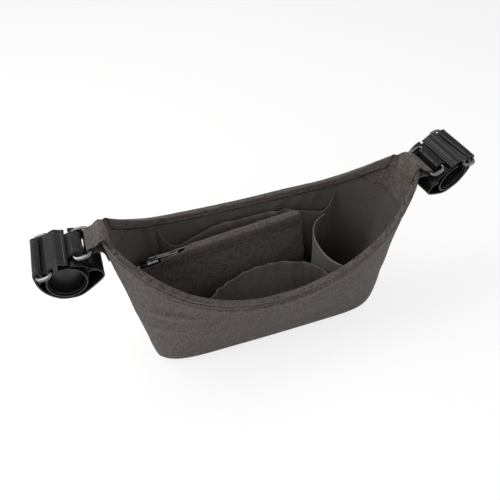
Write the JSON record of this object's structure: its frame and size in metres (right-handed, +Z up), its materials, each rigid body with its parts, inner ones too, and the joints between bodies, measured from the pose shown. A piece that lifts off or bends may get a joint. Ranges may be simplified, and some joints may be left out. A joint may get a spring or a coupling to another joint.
{
  "type": "stroller organizer bag",
  "caption": "Boat-shaped cloth handlebar bag with gathered, zipped and round inner pockets, high end ears, and a ringed wrap strap at each ear.",
  "frame": {"origin": "centre of the flat bottom, on the plane it stands on", "axes": "+Z up, the low front wall faces -Y, X runs from the left ear to the right ear"},
  "size_m": [0.4713, 0.124, 0.2111],
  "materials": {
    "melange_cloth": "warm grey melange weave, matt",
    "lining_cloth": "smooth dark lining, faint sheen",
    "board": "plain stiffener board",
    "black_leatherette": "semi-matt, stitched edges",
    "satin_steel": "satin",
    "dark_gunmetal": "polished dark plating",
    "zip_tape_weave": "herringbone tape",
    "ribbed_rubber": "ribbed, matt",
    "hook_tape": "fuzzy hook and loop"
  },
  "bodies": {
    "bag": {"outer_shell": "melange_cloth", "lining": "lining_cloth", "base_board": "board", "front_rim_binding": "melange_cloth", "back_rim_binding": "melange_cloth", "front_pocket": "lining_cloth", "back_pocket": "lining_cloth", "bottle_pocket": "lining_cloth", "bottle_pocket_piping": "lining_cloth", "zip_pocket_front": "melange_cloth", "zip_pocket_back": "lining_cloth", "zip_tape_front": "zip_tape_weave", "zip_tape_back": "zip_tape_weave", "zip_teeth_front": "dark_gunmetal", "zip_teeth_back": "dark_gunmetal", "zip_stop_left": "dark_gunmetal", "zip_stop_right": "dark_gunmetal", "ear_loop_left": "melange_cloth", "ear_loop_right": "melange_cloth"},
    "left_ring": {"ring_inner_left": "satin_steel"},
    "right_ring": {"ring_inner_right": "satin_steel"},
    "left_strap": {"strap_tab_left": "black_leatherette", "strap_belt_left": "black_leatherette", "strap_wrap_left": "black_leatherette", "ring_outer_left": "satin_steel", "grip_liner_left": "ribbed_rubber", "hook_patch_left": "hook_tape", "loop_patch_left": "hook_tape"},
    "right_strap": {"strap_tab_right": "black_leatherette", "strap_belt_right": "black_leatherette", "strap_wrap_right": "black_leatherette", "ring_outer_right": "satin_steel", "grip_liner_right": "ribbed_rubber", "hook_patch_right": "hook_tape", "loop_patch_right": "hook_tape"},
    "zip_slider": {"zip_slider": "dark_gunmetal"},
    "zip_pull": {"zip_pull": "dark_gunmetal"}
  },
  "joints": [
    {"name": "left_ring_swing", "type": "hinge", "parent": "bag", "child": "left_ring", "pos_m": [-0.1785, -0.0035, 0.196], "axis": [0, 1, 0], "range_deg": [0, 60]},
    {"name": "left_strap_swing", "type": "hinge", "parent": "left_ring", "child": "left_strap", "pos_m": [-0.19394, -0.0035, 0.19465], "axis": [0, 1, 0], "range_deg": [0, 45]},
    {"name": "right_ring_swing", "type": "hinge", "parent": "bag", "child": "right_ring", "pos_m": [0.1785, -0.0035, 0.196], "axis": [0.2059, -0.9686, -0.1392], "range_deg": [0, 40]},
    {"name": "right_strap_swing", "type": "hinge", "parent": "right_ring", "child": "right_strap", "pos_m": [0.19298, -0.00114, 0.201], "axis": [0.2059, -0.9686, -0.1392], "range_deg": [0, 45]},
    {"name": "zip_slide", "type": "slide", "parent": "bag", "child": "zip_slider", "axis": [0.9938, 0.1115, 0], "range_m": [-0.007, 0.154]},
    {"name": "zip_pull_flip", "type": "hinge", "parent": "zip_slider", "child": "zip_pull", "pos_m": [-0.124, 0.02114, 0.12675], "axis": [0.1115, -0.9938, 0], "range_deg": [0, 135]}
  ]
}
